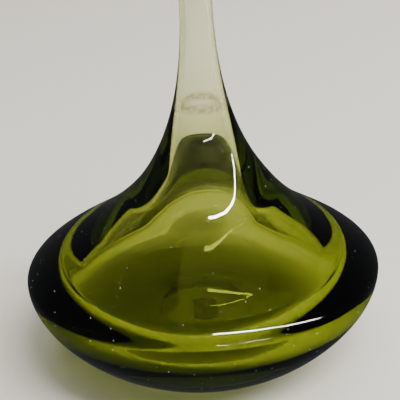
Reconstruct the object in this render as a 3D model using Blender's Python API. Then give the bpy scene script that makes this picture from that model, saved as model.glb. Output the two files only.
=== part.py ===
"""Glass bud vase: a heavy squat bowl of olive-green blown glass that is drawn up into a long slim neck.

Every piece is turned in rings about an upright axis. The origin is the centre of the foot, and the vase
stands on Z = 0. The bowl's rings are centred on the Z axis, and the neck's rings stand a little off it
along X, as the neck was drawn. The glass is made in layers, as a glassblower builds it: an inner bubble
lines the whole hollow, a thick second gather is cased over it and forms the bowl and the neck, the mouth
is fire-polished into a lip, and a button of glass is left under the foot where the pontil rod held it.
"""

import math

import bmesh
import bpy
from mathutils import Vector

MM = 0.001

# Outside of the vase, in millimetres
HEIGHT = 190.0
BOWL_RADIUS = 60.0
BOWL_WIDEST_AT = 31.3
FOOT_RADIUS = 28.0
FOOT_RING_WIDTH = 10.0
KICK_UP = 1.6
NECK_RADIUS = 5.2
NECK_STRAIGHT_FROM = 123.3
SHOULDER_SLOPE = 31.5
SHOULDER_RADIUS = 40.7
SHOULDER_AT = 46.9
LIP_RADIUS = 7.0
LIP_EDGE_DEPTH = 1.0
LIP_FLARE_FROM = 174.0

# Inside of the vase, in millimetres
BORE_RADIUS = 3.5
BORE_STRAIGHT_FROM = 123.0
LIP_MOUTH_RADIUS = 4.9
THROAT_RADIUS = 20.0
THROAT_AT = 49.8
THROAT_SLOPE = 45.0
HOLLOW_SHOULDER_RADIUS = 38.0
HOLLOW_SHOULDER_AT = 33.5
HOLLOW_SLOPE = 42.0
HOLLOW_RADIUS = 44.0
HOLLOW_WIDEST_AT = 26.7
FLOOR_HEIGHT = 11.0

# How far the neck stands off the bowl's axis, and where the lean starts and ends
NECK_SHIFT = 2.3
NECK_SHIFT_FROM = 40.0
NECK_SHIFT_FULL_AT = 66.0

# How far each curve keeps its direction past the point it starts from, in millimetres
NECK_REACH = 47.3
SHOULDER_UP_REACH = 20.6
SHOULDER_DOWN_REACH = 11.2
WIDEST_UP_REACH = 4.9
WIDEST_DOWN_REACH = 13.3
FOOT_REACH = 9.9
BORE_REACH = 14.0
THROAT_UP_REACH = 14.0
THROAT_DOWN_REACH = 9.7
CEILING_UP_REACH = 5.9
CEILING_DOWN_REACH = 6.0
RIM_REACH = 3.5
FLOOR_EDGE_REACH = 9.8
FLOOR_REACH = 22.0
KICK_EDGE_REACH = 6.0
KICK_MIDDLE_REACH = 8.0
LIP_UNDER_REACH = (-1.2, -5.0)
LIP_FLARE_REACH = 8.0
MOUTH_INSIDE_REACH = (-0.8, -3.0)
MOUTH_BORE_REACH = 4.0

# How the layers meet
SEAM = 0.3
BUBBLE_WALL_NECK = 0.75
BUBBLE_WALL_BOWL = 1.6
BUBBLE_WALL_GROWS_FROM = 110.0
BUBBLE_WALL_FULL_AT = 60.0
NECK_SEAM_AT = 92.0
LIP_SEAM_AT = 180.0
PONTIL_RADIUS = 5.5
PONTIL_THICKNESS = 0.9
PONTIL_EDGE_DEPTH = 0.45
PONTIL_TOP_FLAT = 2.5
PONTIL_TOP_DROP = 0.1

SEGMENTS = 36
CURVE_STEPS = 10
ARC_STEPS = 6
SHARP_ANGLE = 40.0

OLIVE_GLASS = (0.36, 0.40, 0.05, 1.0)
OLIVE_GLASS_THIN = (0.55, 0.57, 0.22, 1.0)
PONTIL_GLASS = (0.20, 0.17, 0.03, 1.0)
GLASS_ROUGHNESS = 0.02
PONTIL_ROUGHNESS = 0.35
GLASS_IOR = 1.52


def direction(degrees):
    """A unit vector in the (radius, height) plane, from its angle above the outward radius."""
    return Vector((math.cos(math.radians(degrees)), math.sin(math.radians(degrees))))


def bezier(start, start_handle, end_handle, end, steps=CURVE_STEPS):
    """Points along a cubic Bezier curve, both ends included."""
    points = []
    for i in range(steps + 1):
        t = i / steps
        s = 1.0 - t
        points.append(
            s**3 * start
            + 3 * s * s * t * start_handle
            + 3 * s * t * t * end_handle
            + t**3 * end
        )
    return points


def joined(*runs):
    """Runs of points as one run, with the point that two runs share kept once."""
    points = list(runs[0])
    for run in runs[1:]:
        points.extend(run[1:])
    return points


def outer_neck_and_bowl():
    """The outside of the vase from the straight neck down to the edge of the foot."""
    down_slope = direction(-SHOULDER_SLOPE)
    neck = Vector((NECK_RADIUS, NECK_STRAIGHT_FROM))
    shoulder = Vector((SHOULDER_RADIUS, SHOULDER_AT))
    widest = Vector((BOWL_RADIUS, BOWL_WIDEST_AT))
    foot = Vector((FOOT_RADIUS, 0.0))
    flare = bezier(
        neck,
        neck + Vector((0, -NECK_REACH)),
        shoulder - SHOULDER_UP_REACH * down_slope,
        shoulder,
    )
    nose = bezier(
        shoulder,
        shoulder + SHOULDER_DOWN_REACH * down_slope,
        widest + Vector((0, WIDEST_UP_REACH)),
        widest,
        ARC_STEPS,
    )
    belly = bezier(
        widest,
        widest + Vector((0, -WIDEST_DOWN_REACH)),
        foot + Vector((FOOT_REACH, 0)),
        foot,
    )
    return joined(flare, nose, belly)


def hollow():
    """The inside of the vase from the straight bore down to the middle of the floor."""
    throat_slope = direction(-THROAT_SLOPE)
    down_slope = direction(-HOLLOW_SLOPE)
    bore = Vector((BORE_RADIUS, BORE_STRAIGHT_FROM))
    throat = Vector((THROAT_RADIUS, THROAT_AT))
    shoulder = Vector((HOLLOW_SHOULDER_RADIUS, HOLLOW_SHOULDER_AT))
    widest = Vector((HOLLOW_RADIUS, HOLLOW_WIDEST_AT))
    floor = Vector((0.0, FLOOR_HEIGHT))
    drawn = bezier(
        bore,
        bore + Vector((0, -BORE_REACH)),
        throat - THROAT_UP_REACH * throat_slope,
        throat,
    )
    flare = bezier(
        throat,
        throat + THROAT_DOWN_REACH * throat_slope,
        shoulder - CEILING_UP_REACH * down_slope,
        shoulder,
        ARC_STEPS,
    )
    rim = bezier(
        shoulder,
        shoulder + CEILING_DOWN_REACH * down_slope,
        widest + Vector((0, RIM_REACH)),
        widest,
        ARC_STEPS,
    )
    floor_run = bezier(
        widest,
        widest + Vector((0, -FLOOR_EDGE_REACH)),
        floor + Vector((FLOOR_REACH, 0)),
        floor,
    )
    return joined(drawn, flare, rim, floor_run)


def kick_up():
    """The underside inside the foot ring, up to the middle of the kick-up."""
    edge = Vector((FOOT_RADIUS - FOOT_RING_WIDTH, 0.0))
    middle = Vector((0.0, KICK_UP))
    return bezier(
        edge,
        edge + Vector((-KICK_EDGE_REACH, KICK_UP)),
        middle + Vector((KICK_MIDDLE_REACH, 0)),
        middle,
        ARC_STEPS,
    )


def offset(points, distance_at):
    """A run of points moved to the glass side, down and outwards, by a distance that depends on the height."""
    moved = []
    for i, point in enumerate(points):
        before = points[max(i - 1, 0)]
        after = points[min(i + 1, len(points) - 1)]
        along = (after - before).normalized()
        normal = Vector((-along.y, along.x))
        if i == 0:
            normal = Vector((1, 0))
        if i == len(points) - 1:
            normal = Vector((0, -1))
        moved.append(point + normal * distance_at(point.y))
    return moved


def bubble_wall(height):
    """The bubble's wall: thin where the neck was drawn out, and full round the bowl."""
    share = (BUBBLE_WALL_GROWS_FROM - height) / (BUBBLE_WALL_GROWS_FROM - BUBBLE_WALL_FULL_AT)
    share = min(max(share, 0.0), 1.0)
    return BUBBLE_WALL_NECK + share * (BUBBLE_WALL_BOWL - BUBBLE_WALL_NECK)


def axis_shift(height):
    """How far along X the ring at a height is centred: nothing in the bowl, the full shift in the neck."""
    share = (height - NECK_SHIFT_FROM) / (NECK_SHIFT_FULL_AT - NECK_SHIFT_FROM)
    share = min(max(share, 0.0), 1.0)
    return NECK_SHIFT * share * share * (3 - 2 * share)


def crossing(points, height):
    """The point where a run that goes down passes a height."""
    for above, below in zip(points, points[1:]):
        if above.y >= height > below.y:
            return above.lerp(below, (above.y - height) / (above.y - below.y))
    raise ValueError("the run doesn't reach this height")


def between(points, high, low):
    """The stretch of a run that goes down, cut at two heights."""
    inside = [point for point in points if high > point.y > low]
    start = crossing(points, high) if points[0].y > high else points[0]
    end = crossing(points, low) if points[-1].y < low else points[-1]
    return [start] + [point for point in inside if point not in (start, end)] + [end]


def ring_of(shape, point):
    """The vertices of one ring, or the single vertex of a point on the axis."""
    if point.x < 1e-6:
        return [shape.verts.new((axis_shift(point.y) * MM, 0, point.y * MM))]
    ring = []
    for i in range(SEGMENTS):
        turn = math.tau * i / SEGMENTS
        along = point.x * math.cos(turn) + axis_shift(point.y)
        across = point.x * math.sin(turn)
        ring.append(shape.verts.new((along * MM, across * MM, point.y * MM)))
    return ring


def turned(name, outline, material):
    """A closed solid turned from its outline, which runs down its outer side and back up its inner side."""
    mesh = bpy.data.meshes.new(name)
    shape = bmesh.new()
    rings = [ring_of(shape, point) for point in outline]
    for upper, lower in zip(rings, rings[1:] + rings[:1]):
        for i in range(SEGMENTS):
            j = (i + 1) % SEGMENTS
            if len(upper) == 1 and len(lower) == 1:
                continue
            if len(upper) == 1:
                corners = (upper[0], lower[i], lower[j])
            elif len(lower) == 1:
                corners = (upper[i], lower[0], upper[j])
            else:
                corners = (upper[i], lower[i], lower[j], upper[j])
            shape.faces.new(corners)
    bmesh.ops.recalc_face_normals(shape, faces=shape.faces)
    shape.to_mesh(mesh)
    shape.free()
    mesh.shade_smooth()
    mesh.set_sharp_from_angle(angle=math.radians(SHARP_ANGLE))
    mesh.materials.append(material)
    piece = bpy.data.objects.new(name, mesh)
    bpy.context.scene.collection.objects.link(piece)
    return piece


def glass(name, colour, roughness):
    material = bpy.data.materials.new(name)
    material.use_nodes = True
    shader = material.node_tree.nodes["Principled BSDF"]
    shader.inputs["Base Color"].default_value = colour
    shader.inputs["Roughness"].default_value = roughness
    shader.inputs["Metallic"].default_value = 0.0
    shader.inputs["IOR"].default_value = GLASS_IOR
    shader.inputs["Transmission Weight"].default_value = 1.0
    material.diffuse_color = colour
    return material


def inner_bubble(material):
    """The first gather, blown hollow: it lines the bore, the shoulder and the bowl in one skin."""
    inside = [Vector((BORE_RADIUS, LIP_SEAM_AT - SEAM))] + hollow()
    outside = offset(inside, bubble_wall)
    return turned("inner_bubble", outside + inside[::-1], material)


def casing_hollow():
    """The inside of the second gather: the bubble's outside and the seam round it."""
    inside = [Vector((BORE_RADIUS, LIP_SEAM_AT - SEAM))] + hollow()
    return offset(inside, lambda height: bubble_wall(height) + SEAM)


def lip_flare():
    """The outside of the neck where it opens towards the lip, from the lip down to the straight neck."""
    edge = Vector((LIP_RADIUS, HEIGHT - LIP_EDGE_DEPTH))
    start = Vector((NECK_RADIUS, LIP_FLARE_FROM))
    return bezier(
        edge,
        edge + Vector(LIP_UNDER_REACH),
        start + Vector((0, LIP_FLARE_REACH)),
        start,
        ARC_STEPS,
    )


def neck(material):
    """The second gather drawn out thin, from the top of the shoulder to the lip."""
    top = LIP_SEAM_AT - SEAM
    outside = lip_flare() + outer_neck_and_bowl()
    outer = between(outside, top, NECK_SEAM_AT)
    inner = between(casing_hollow(), top, NECK_SEAM_AT)
    return turned("neck", outer + inner[::-1], material)


def bowl_casing(material):
    """The second gather round the bowl: thick walls, a heavy floor and a ground foot with a kick-up."""
    top = NECK_SEAM_AT - SEAM
    outer = between(outer_neck_and_bowl(), top, 0.0)
    inner = [crossing(casing_hollow(), top)]
    inner += [point for point in casing_hollow() if point.y < top]
    return turned("bowl_casing", outer + kick_up() + inner[::-1], material)


def lip(material):
    """The mouth, opened a little and fire-polished to a round edge."""
    outer_edge = Vector((LIP_RADIUS, HEIGHT - LIP_EDGE_DEPTH))
    inner_edge = Vector((LIP_MOUTH_RADIUS, HEIGHT - LIP_EDGE_DEPTH))
    crown = Vector((0, LIP_EDGE_DEPTH * 4 / 3))
    round_edge = bezier(inner_edge, inner_edge + crown, outer_edge + crown, outer_edge, ARC_STEPS)
    outer = between(lip_flare(), HEIGHT - LIP_EDGE_DEPTH, LIP_SEAM_AT)
    bore = Vector((BORE_RADIUS, LIP_SEAM_AT))
    inner = bezier(
        inner_edge,
        inner_edge + Vector(MOUTH_INSIDE_REACH),
        bore + Vector((0, MOUTH_BORE_REACH)),
        bore,
        ARC_STEPS,
    )
    return turned("lip", joined(round_edge, outer) + inner[::-1][:-1], material)


def pontil_button(material):
    """The bit of glass that the pontil rod left in the middle of the kick-up, clear of the table."""
    top = KICK_UP - SEAM
    bottom = top - PONTIL_THICKNESS
    edge = Vector((PONTIL_RADIUS, top - PONTIL_EDGE_DEPTH))
    crown = bezier(
        Vector((0.0, top)),
        Vector((PONTIL_TOP_FLAT, top)),
        Vector((PONTIL_RADIUS, top - PONTIL_TOP_DROP)),
        edge,
        ARC_STEPS,
    )
    underside = bezier(
        edge,
        Vector((PONTIL_RADIUS, bottom)),
        Vector((PONTIL_TOP_FLAT, bottom)),
        Vector((0.0, bottom)),
        ARC_STEPS,
    )
    return turned("pontil_button", joined(crown, underside), material)


def main():
    for old in list(bpy.data.objects):
        bpy.data.objects.remove(old, do_unlink=True)
    body_glass = glass("olive_glass", OLIVE_GLASS, GLASS_ROUGHNESS)
    thin_glass = glass("olive_glass_thin", OLIVE_GLASS_THIN, GLASS_ROUGHNESS)
    pontil_glass = glass("pontil_glass", PONTIL_GLASS, PONTIL_ROUGHNESS)
    inner_bubble(body_glass)
    bowl_casing(body_glass)
    neck(thin_glass)
    lip(thin_glass)
    pontil_button(pontil_glass)


main()
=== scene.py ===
import math

import bmesh
import bpy
from mathutils import Matrix, Vector


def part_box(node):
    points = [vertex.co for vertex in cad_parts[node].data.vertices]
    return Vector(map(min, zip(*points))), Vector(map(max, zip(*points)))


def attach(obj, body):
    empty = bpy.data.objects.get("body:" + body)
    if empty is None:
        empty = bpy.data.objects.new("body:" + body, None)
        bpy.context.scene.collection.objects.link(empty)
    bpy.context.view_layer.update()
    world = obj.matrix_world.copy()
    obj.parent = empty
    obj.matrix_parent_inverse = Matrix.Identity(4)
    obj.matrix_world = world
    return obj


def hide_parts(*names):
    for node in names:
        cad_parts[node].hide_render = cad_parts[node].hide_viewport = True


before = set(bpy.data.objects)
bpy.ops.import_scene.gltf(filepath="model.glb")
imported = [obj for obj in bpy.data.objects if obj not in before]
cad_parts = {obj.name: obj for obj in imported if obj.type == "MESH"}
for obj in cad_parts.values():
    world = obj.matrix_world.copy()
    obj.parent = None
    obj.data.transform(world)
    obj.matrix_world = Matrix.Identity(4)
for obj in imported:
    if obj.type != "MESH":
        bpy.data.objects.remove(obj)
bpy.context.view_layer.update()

MM = 0.001

# Sizes from the frame, in millimetres
BOWL_LOW, BOWL_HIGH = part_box("bowl_casing")
LIP_LOW, LIP_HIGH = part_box("lip")
BOWL_RADIUS = BOWL_HIGH[0] / MM
LIP_RADIUS = (LIP_HIGH[0] - LIP_LOW[0]) / MM / 2
HEIGHT = LIP_HIGH[2] / MM

# Outside of the vase, in millimetres, as the CAD has it
BOWL_WIDEST_AT = 31.3
FOOT_RADIUS = 28.0
FOOT_RING_WIDTH = 10.0
KICK_UP = 1.6
NECK_RADIUS = 5.2
NECK_STRAIGHT_FROM = 123.3
SHOULDER_SLOPE = 31.5
SHOULDER_RADIUS = 40.7
SHOULDER_AT = 46.9
LIP_EDGE_DEPTH = 1.0
LIP_FLARE_FROM = 174.0
LIP_SEAM_AT = 180.0

# Inside of the vase, in millimetres
BORE_RADIUS = 3.5
BORE_STRAIGHT_FROM = 123.0
LIP_MOUTH_RADIUS = 4.9
THROAT_RADIUS = 20.0
THROAT_AT = 49.6
THROAT_SLOPE = 47.0
HOLLOW_SHOULDER_RADIUS = 38.0
HOLLOW_SHOULDER_AT = 33.5
HOLLOW_SLOPE = 42.0
HOLLOW_RADIUS = 44.0
HOLLOW_WIDEST_AT = 26.66
FLOOR_HEIGHT = 11.0

# How far the neck stands off the bowl's axis, and where the lean starts and ends
NECK_SHIFT = 2.3
NECK_SHIFT_FROM = 40.0
NECK_SHIFT_FULL_AT = 66.0

# How far each curve keeps its direction past the point it starts from, in millimetres
NECK_REACH = 47.3
SHOULDER_UP_REACH = 20.6
SHOULDER_DOWN_REACH = 11.2
WIDEST_UP_REACH = 4.9
WIDEST_DOWN_REACH = 13.3
FOOT_REACH = 9.9
HOLLOW_FLARE_REACH = 24.0
THROAT_UP_REACH = 15.0
THROAT_DOWN_REACH = 9.74
HOLLOW_THROAT_REACH = 5.91
HOLLOW_CEILING_REACH = 6.0
HOLLOW_RIM_ROUND = 3.53
FLOOR_EDGE_ROUND = 9.79
FLOOR_FLAT_REACH = 22.0
KICK_EDGE_REACH = 6.0
KICK_MIDDLE_REACH = 8.0
LIP_UNDER_REACH = (-1.2, -5.0)
LIP_FLARE_REACH = 8.0
MOUTH_INSIDE_REACH = (-0.8, -3.0)
MOUTH_BORE_REACH = 4.0

# Pontil mark, in millimetres
PONTIL_RADIUS = 5.5
PONTIL_TOP_GAP = 0.3
PONTIL_THICKNESS = 0.9
PONTIL_UNEVEN = 0.1
# Each wave round its edge: how many to a turn, where it starts, and how strong it is
PONTIL_WAVES = ((3, 0.6, 1.0), (7, 2.1, 0.6))

# How finely the shapes are turned
SEGMENTS = 224
CURVE_STEPS = 48
NOSE_STEPS = 48
ARC_STEPS = 24

# Camera: angles in degrees, lengths in metres, and the focal length against the frame's width
CAMERA_ELEVATION = 23.0
CAMERA_DISTANCE = 0.357
CAMERA_ROLL = -3.12
AIM_HEIGHT = 0.0548
AIM_ACROSS = 0.00035
FOCAL_PIXELS = 1060.0
SENSOR = 36.0
FRAME_PIXELS = 400.0

# Light: a long ceiling tube to the front right, a second one further off, and a soft fill overhead.
# Lengths are in metres and powers in watts
TUBE_AT = (2.05, -0.85, 1.6)
TUBE_LENGTH = 3.9
TUBE_WIDTH = 0.045
TUBE_POWER = 106.0
TUBE_COLOUR = (1.0, 0.960, 0.911)
FAR_TUBE_AT = (1.45, -3.5, 1.6)
FAR_TUBE_LENGTH = 2.5
FAR_TUBE_POWER = 25.0
FILL_AT = (0.6, -0.3, 1.8)
FILL_SIZE = 2.4
FILL_POWER = 36.0
WORLD_COLOUR = (0.9, 0.93, 1.0, 1.0)
WORLD_STRENGTH = 0.06
FLOOR_BRIGHTNESS = 0.79
FLOOR_TINT = (1.0, 0.985, 0.90)
FLOOR_ROUGHNESS = 0.9
FLOOR_HALF_WIDTH = 3.0
FLOOR_FRONT = -4.0
# Just below the foot, so that light gets in under its ring
FLOOR_AT = -0.0003
FLOOR_BEND_FROM = 1.2
FLOOR_BEND_RADIUS = 0.6
FLOOR_TOP = 2.5
FLOOR_BEND_STEPS = 12

# Glass: light fades by density times (1 - colour) for each metre of it
GLASS_IOR = 1.52
GLASS_ROUGHNESS = 0.0
ABSORPTION_DENSITY = 175.0
ABSORPTION_COLOUR = (0.715, 0.752, 0.240, 1.0)

# The dried water line inside the neck, in metres, and the dust on the glass
WATER_LINE_AT = 0.0888
WATER_LINE_HALF_HEIGHT = 0.0006
WATER_LINE_FADE = 0.0018
WATER_LINE_INSIDE = 0.0076
WATER_LINE_GRAIN = 900.0
WATER_LINE_GRAIN_DETAIL = 3.0
WATER_LINE_GRAIN_FROM = 0.1
WATER_LINE_GRAIN_CONTRAST = 1.4
WATER_LINE_COVER = 0.35
WATER_LINE_TINT = (0.34, 0.25, 0.14, 1.0)
SPECK_CELLS = 420.0
SPECK_SIZE = 0.07
SPECK_SHARE = 0.35
SPECK_COVER = 0.75
SPECK_TINT = (0.80, 0.80, 0.62, 1.0)

# Pontil glass
PONTIL_COLOUR = (0.020, 0.017, 0.005, 1.0)
PONTIL_ROUGHNESS = 0.5
PONTIL_TRANSMISSION = 0.0


def direction(degrees):
    """A unit vector in the (radius, height) plane, from its angle above the outward radius."""
    return Vector((math.cos(math.radians(degrees)), math.sin(math.radians(degrees))))


def bezier(start, start_handle, end_handle, end, steps):
    """Points along a cubic Bezier curve, both ends included."""
    points = []
    for i in range(steps + 1):
        t = i / steps
        s = 1.0 - t
        points.append(
            s**3 * start
            + 3 * s * s * t * start_handle
            + 3 * s * t * t * end_handle
            + t**3 * end
        )
    return points


def joined(*runs):
    """Runs of points as one run, with the point that two runs share kept once."""
    points = list(runs[0])
    for run in runs[1:]:
        points.extend(run[1:])
    return points


def outer_neck_and_bowl():
    """The outside of the vase from the straight neck down to the edge of the foot."""
    down_slope = direction(-SHOULDER_SLOPE)
    neck = Vector((NECK_RADIUS, NECK_STRAIGHT_FROM))
    shoulder = Vector((SHOULDER_RADIUS, SHOULDER_AT))
    widest = Vector((BOWL_RADIUS, BOWL_WIDEST_AT))
    foot = Vector((FOOT_RADIUS, 0.0))
    flare = bezier(
        neck,
        neck + Vector((0, -NECK_REACH)),
        shoulder - SHOULDER_UP_REACH * down_slope,
        shoulder,
        CURVE_STEPS,
    )
    nose = bezier(
        shoulder,
        shoulder + SHOULDER_DOWN_REACH * down_slope,
        widest + Vector((0, WIDEST_UP_REACH)),
        widest,
        NOSE_STEPS,
    )
    belly = bezier(
        widest,
        widest + Vector((0, -WIDEST_DOWN_REACH)),
        foot + Vector((FOOT_REACH, 0)),
        foot,
        NOSE_STEPS,
    )
    return joined(flare, nose, belly)


def hollow():
    """The inside of the vase from the straight bore down to the middle of the floor."""
    down_slope = direction(-HOLLOW_SLOPE)
    throat_slope = direction(-THROAT_SLOPE)
    bore = Vector((BORE_RADIUS, BORE_STRAIGHT_FROM))
    throat = Vector((THROAT_RADIUS, THROAT_AT))
    shoulder = Vector((HOLLOW_SHOULDER_RADIUS, HOLLOW_SHOULDER_AT))
    widest = Vector((HOLLOW_RADIUS, HOLLOW_WIDEST_AT))
    floor = Vector((0.0, FLOOR_HEIGHT))
    drawn = bezier(
        bore,
        bore + Vector((0, -HOLLOW_FLARE_REACH)),
        throat - THROAT_UP_REACH * throat_slope,
        throat,
        CURVE_STEPS,
    )
    flare = bezier(
        throat,
        throat + THROAT_DOWN_REACH * throat_slope,
        shoulder - HOLLOW_THROAT_REACH * down_slope,
        shoulder,
        ARC_STEPS,
    )
    rim = bezier(
        shoulder,
        shoulder + HOLLOW_CEILING_REACH * down_slope,
        widest + Vector((0, HOLLOW_RIM_ROUND)),
        widest,
        NOSE_STEPS,
    )
    floor_run = bezier(
        widest,
        widest + Vector((0, -FLOOR_EDGE_ROUND)),
        floor + Vector((FLOOR_FLAT_REACH, 0)),
        floor,
        CURVE_STEPS,
    )
    return joined(drawn, flare, rim, floor_run)


def kick_up():
    """The underside inside the foot ring, up to the middle of the kick-up."""
    edge = Vector((FOOT_RADIUS - FOOT_RING_WIDTH, 0.0))
    middle = Vector((0.0, KICK_UP))
    return bezier(
        edge,
        edge + Vector((-KICK_EDGE_REACH, KICK_UP)),
        middle + Vector((KICK_MIDDLE_REACH, 0)),
        middle,
        ARC_STEPS,
    )


def lip_and_mouth():
    """The round edge and the outside of the lip, and the inside of the mouth, as two runs."""
    outer_edge = Vector((LIP_RADIUS, HEIGHT - LIP_EDGE_DEPTH))
    inner_edge = Vector((LIP_MOUTH_RADIUS, HEIGHT - LIP_EDGE_DEPTH))
    flare_start = Vector((NECK_RADIUS, LIP_FLARE_FROM))
    crown = Vector((0, LIP_EDGE_DEPTH * 4 / 3))
    edge = bezier(inner_edge, inner_edge + crown, outer_edge + crown, outer_edge, ARC_STEPS)
    flare = bezier(
        outer_edge,
        outer_edge + Vector(LIP_UNDER_REACH),
        flare_start + Vector((0, LIP_FLARE_REACH)),
        flare_start,
        ARC_STEPS,
    )
    bore = Vector((BORE_RADIUS, LIP_SEAM_AT))
    mouth = bezier(
        bore,
        bore + Vector((0, MOUTH_BORE_REACH)),
        inner_edge + Vector(MOUTH_INSIDE_REACH),
        inner_edge,
        ARC_STEPS,
    )
    return joined(edge, flare), mouth


def whole_outline():
    """The closed outline of the whole vase: down its outside, across the foot and up the hollow."""
    lip_outside, mouth = lip_and_mouth()
    return lip_outside + outer_neck_and_bowl() + kick_up() + hollow()[::-1] + mouth[:-1]


def axis_shift(height):
    """How far along X the ring at a height is centred: nothing in the bowl, the full shift in the neck."""
    share = (height - NECK_SHIFT_FROM) / (NECK_SHIFT_FULL_AT - NECK_SHIFT_FROM)
    share = min(max(share, 0.0), 1.0)
    return NECK_SHIFT * share * share * (3 - 2 * share)


def even(turn):
    """A round edge."""
    return 1.0


def uneven(turn):
    """The wavy edge of the pontil mark, as a share of its radius."""
    waves = sum(strength * math.sin(count * turn + start) for count, start, strength in PONTIL_WAVES)
    return 1.0 + PONTIL_UNEVEN * waves


def turned(name, outline, material, edge=even):
    """A closed solid turned from its outline, which runs down its outer side and back up its inner side."""
    mesh = bpy.data.meshes.new(name)
    shape = bmesh.new()
    rings = []
    for point in outline:
        if point.x < 1e-6:
            rings.append([shape.verts.new((axis_shift(point.y) * MM, 0, point.y * MM))])
            continue
        ring = []
        for i in range(SEGMENTS):
            turn = math.tau * i / SEGMENTS
            radius = point.x * edge(turn)
            along = radius * math.cos(turn) + axis_shift(point.y)
            across = radius * math.sin(turn)
            ring.append(shape.verts.new((along * MM, across * MM, point.y * MM)))
        rings.append(ring)
    for upper, lower in zip(rings, rings[1:] + rings[:1]):
        for i in range(SEGMENTS):
            j = (i + 1) % SEGMENTS
            if len(upper) == 1 and len(lower) == 1:
                continue
            if len(upper) == 1:
                corners = (upper[0], lower[i], lower[j])
            elif len(lower) == 1:
                corners = (upper[i], lower[0], upper[j])
            else:
                corners = (upper[i], lower[i], lower[j], upper[j])
            shape.faces.new(corners)
    bmesh.ops.recalc_face_normals(shape, faces=shape.faces)
    shape.to_mesh(mesh)
    shape.free()
    mesh.shade_smooth()
    mesh.materials.append(material)
    piece = bpy.data.objects.new(name, mesh)
    bpy.context.scene.collection.objects.link(piece)
    return piece


def pontil_outline():
    """The pontil mark: a low rough button under the middle of the kick-up."""
    top = KICK_UP - PONTIL_TOP_GAP
    bottom = top - PONTIL_THICKNESS
    strongest = sum(strength for count, start, strength in PONTIL_WAVES)
    radius = PONTIL_RADIUS / (1.0 + PONTIL_UNEVEN * strongest)
    edge = Vector((radius, (top + bottom) / 2))
    crown = bezier(
        Vector((0.0, top)), Vector((radius / 2, top)), Vector((radius, top)), edge, ARC_STEPS
    )
    underside = bezier(
        edge, Vector((radius, bottom)), Vector((radius / 2, bottom)), Vector((0.0, bottom)), ARC_STEPS
    )
    return joined(crown, underside)


def math_node(tree, operation, first, second=None, clamp=False):
    """One maths node: each input is a socket to link or a number to set. Returns its output."""
    node = tree.nodes.new("ShaderNodeMath")
    node.operation = operation
    node.use_clamp = clamp
    for slot, value in enumerate((first, second)):
        if isinstance(value, (int, float)):
            node.inputs[slot].default_value = value
        elif value is not None:
            tree.links.new(value, node.inputs[slot])
    return node.outputs[0]


def tinted(tree, share, base, tint):
    """A colour that goes from base to tint with a share between 0 and 1. Base is a socket or a colour."""
    node = tree.nodes.new("ShaderNodeMix")
    node.data_type = "RGBA"
    tree.links.new(share, node.inputs["Factor"])
    if isinstance(base, tuple):
        node.inputs[6].default_value = base
    else:
        tree.links.new(base, node.inputs[6])
    node.inputs[7].default_value = tint
    return node.outputs[2]


def water_line(tree, place):
    """Where dried water left its mark: a grainy ring on the inside of the neck."""
    axes = tree.nodes.new("ShaderNodeSeparateXYZ")
    tree.links.new(place, axes.inputs[0])
    grain = tree.nodes.new("ShaderNodeTexNoise")
    grain.inputs["Scale"].default_value = WATER_LINE_GRAIN
    grain.inputs["Detail"].default_value = WATER_LINE_GRAIN_DETAIL
    tree.links.new(place, grain.inputs["Vector"])
    across = math_node(tree, "SUBTRACT", axes.outputs["X"], NECK_SHIFT * MM)
    across_squared = math_node(tree, "MULTIPLY", across, across)
    along_squared = math_node(tree, "MULTIPLY", axes.outputs["Y"], axes.outputs["Y"])
    radius_squared = math_node(tree, "ADD", across_squared, along_squared)
    inside = math_node(tree, "LESS_THAN", radius_squared, WATER_LINE_INSIDE**2)
    offset = math_node(tree, "SUBTRACT", axes.outputs["Z"], WATER_LINE_AT)
    away = math_node(tree, "SUBTRACT", math_node(tree, "ABSOLUTE", offset), WATER_LINE_HALF_HEIGHT)
    near = math_node(tree, "SUBTRACT", 1.0, math_node(tree, "DIVIDE", away, WATER_LINE_FADE), clamp=True)
    over = math_node(tree, "SUBTRACT", grain.outputs["Fac"], WATER_LINE_GRAIN_FROM)
    spotty = math_node(tree, "MULTIPLY", over, WATER_LINE_GRAIN_CONTRAST, clamp=True)
    return math_node(tree, "MULTIPLY", math_node(tree, "MULTIPLY", near, spotty), inside)


def specks(tree, place):
    """Small grains of dust: a disc in a share of the cells of a cell pattern."""
    cells = tree.nodes.new("ShaderNodeTexVoronoi")
    cells.inputs["Scale"].default_value = SPECK_CELLS
    tree.links.new(place, cells.inputs["Vector"])
    colour = tree.nodes.new("ShaderNodeSeparateColor")
    tree.links.new(cells.outputs["Color"], colour.inputs[0])
    small = math_node(tree, "LESS_THAN", cells.outputs["Distance"], SPECK_SIZE)
    chosen = math_node(tree, "LESS_THAN", colour.outputs[0], SPECK_SHARE)
    return math_node(tree, "MULTIPLY", math_node(tree, "MULTIPLY", small, chosen), SPECK_COVER)


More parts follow.
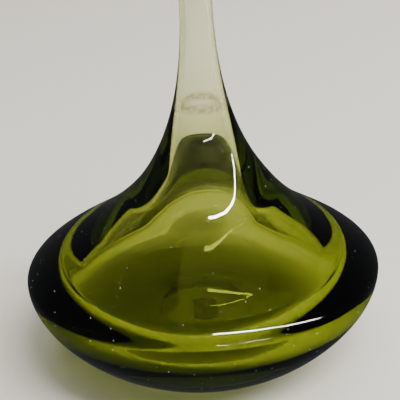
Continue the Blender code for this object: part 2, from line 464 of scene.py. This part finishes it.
def glass_material():
    """Clear glass whose colour is all in its thickness, with dust and a dried water line."""
    material = bpy.data.materials.new("olive_glass")
    material.use_nodes = True
    tree = material.node_tree
    shader = tree.nodes["Principled BSDF"]
    shader.inputs["Roughness"].default_value = GLASS_ROUGHNESS
    shader.inputs["IOR"].default_value = GLASS_IOR
    place = tree.nodes.new("ShaderNodeTexCoord").outputs["Object"]
    line = water_line(tree, place)
    dust = specks(tree, place)
    stained = tinted(tree, line, (1.0, 1.0, 1.0, 1.0), WATER_LINE_TINT)
    tree.links.new(tinted(tree, dust, stained, SPECK_TINT), shader.inputs["Base Color"])
    covered = math_node(tree, "MAXIMUM", dust, math_node(tree, "MULTIPLY", line, WATER_LINE_COVER))
    tree.links.new(math_node(tree, "SUBTRACT", 1.0, covered), shader.inputs["Transmission Weight"])
    volume = tree.nodes.new("ShaderNodeVolumeAbsorption")
    volume.inputs["Color"].default_value = ABSORPTION_COLOUR
    volume.inputs["Density"].default_value = ABSORPTION_DENSITY
    tree.links.new(volume.outputs["Volume"], tree.nodes["Material Output"].inputs["Volume"])
    return material


def pontil_material():
    """Dark half-matt scar glass."""
    material = bpy.data.materials.new("pontil_glass")
    material.use_nodes = True
    shader = material.node_tree.nodes["Principled BSDF"]
    shader.inputs["Base Color"].default_value = PONTIL_COLOUR
    shader.inputs["Roughness"].default_value = PONTIL_ROUGHNESS
    shader.inputs["IOR"].default_value = GLASS_IOR
    shader.inputs["Transmission Weight"].default_value = PONTIL_TRANSMISSION
    return material


def make_camera():
    """The camera, above the front of the vase and rolled a little."""
    data = bpy.data.cameras.new("camera")
    data.sensor_width = SENSOR
    data.lens = FOCAL_PIXELS / FRAME_PIXELS * SENSOR
    camera = bpy.data.objects.new("camera", data)
    bpy.context.scene.collection.objects.link(camera)
    elevation = math.radians(CAMERA_ELEVATION)
    back = Vector((0, -math.cos(elevation), math.sin(elevation)))
    camera.location = Vector((AIM_ACROSS, 0, AIM_HEIGHT)) + back * CAMERA_DISTANCE
    level = back.to_track_quat("Z", "Y").to_matrix()
    rolled = level @ Matrix.Rotation(math.radians(CAMERA_ROLL), 3, "Z")
    camera.rotation_euler = rolled.to_euler()
    bpy.context.scene.camera = camera


def area_light(name, location, length, width, power):
    """A rectangular light with its length along X, turned about X to face the vase."""
    data = bpy.data.lights.new(name, "AREA")
    data.shape = "RECTANGLE"
    data.size = length
    data.size_y = width
    data.energy = power
    data.color = TUBE_COLOUR
    lamp = bpy.data.objects.new(name, data)
    bpy.context.scene.collection.objects.link(lamp)
    lamp.location = location
    lamp.rotation_euler = (math.atan2(-location[1], location[2]), 0, 0)
    return lamp


def make_floor():
    """A plain pale floor that bends up behind the vase into a plain wall."""
    mesh = bpy.data.meshes.new("floor")
    shape = bmesh.new()
    depth = [(FLOOR_FRONT, FLOOR_AT), (FLOOR_BEND_FROM, FLOOR_AT)]
    for i in range(1, FLOOR_BEND_STEPS + 1):
        bend = math.radians(90 * i / FLOOR_BEND_STEPS)
        y = FLOOR_BEND_FROM + FLOOR_BEND_RADIUS * math.sin(bend)
        depth.append((y, FLOOR_BEND_RADIUS * (1 - math.cos(bend))))
    depth.append((FLOOR_BEND_FROM + FLOOR_BEND_RADIUS, FLOOR_TOP))
    rows = []
    for y, z in depth:
        rows.append([shape.verts.new((x, y, z)) for x in (-FLOOR_HALF_WIDTH, FLOOR_HALF_WIDTH)])
    for near, far in zip(rows, rows[1:]):
        shape.faces.new((near[0], near[1], far[1], far[0]))
    shape.to_mesh(mesh)
    shape.free()
    mesh.shade_smooth()
    floor = bpy.data.objects.new("floor", mesh)
    bpy.context.scene.collection.objects.link(floor)
    material = bpy.data.materials.new("floor")
    material.use_nodes = True
    shader = material.node_tree.nodes["Principled BSDF"]
    shader.inputs["Base Color"].default_value = [FLOOR_BRIGHTNESS * share for share in FLOOR_TINT] + [1]
    shader.inputs["Roughness"].default_value = FLOOR_ROUGHNESS
    mesh.materials.append(material)
    # The glass doesn't mirror the floor, so its edges stay as dark as they are in a dark room
    floor.visible_glossy = False


def make_world():
    """A dim, even light from all round."""
    world = bpy.data.worlds.new("studio")
    world.use_nodes = True
    background = world.node_tree.nodes["Background"]
    background.inputs["Color"].default_value = WORLD_COLOUR
    background.inputs["Strength"].default_value = WORLD_STRENGTH
    bpy.context.scene.world = world


make_camera()
make_floor()
make_world()
area_light("tube", TUBE_AT, TUBE_LENGTH, TUBE_WIDTH, TUBE_POWER)
area_light("far_tube", FAR_TUBE_AT, FAR_TUBE_LENGTH, TUBE_WIDTH, FAR_TUBE_POWER)
fill = area_light("fill", FILL_AT, FILL_SIZE, FILL_SIZE, FILL_POWER)
fill.visible_glossy = False

vase = turned("vase_glass", whole_outline(), glass_material())
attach(vase, "root")
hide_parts("bowl_casing", "neck", "lip", "inner_bubble")

pontil = turned("pontil_mark", pontil_outline(), pontil_material(), uneven)
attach(pontil, "root")
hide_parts("pontil_button")
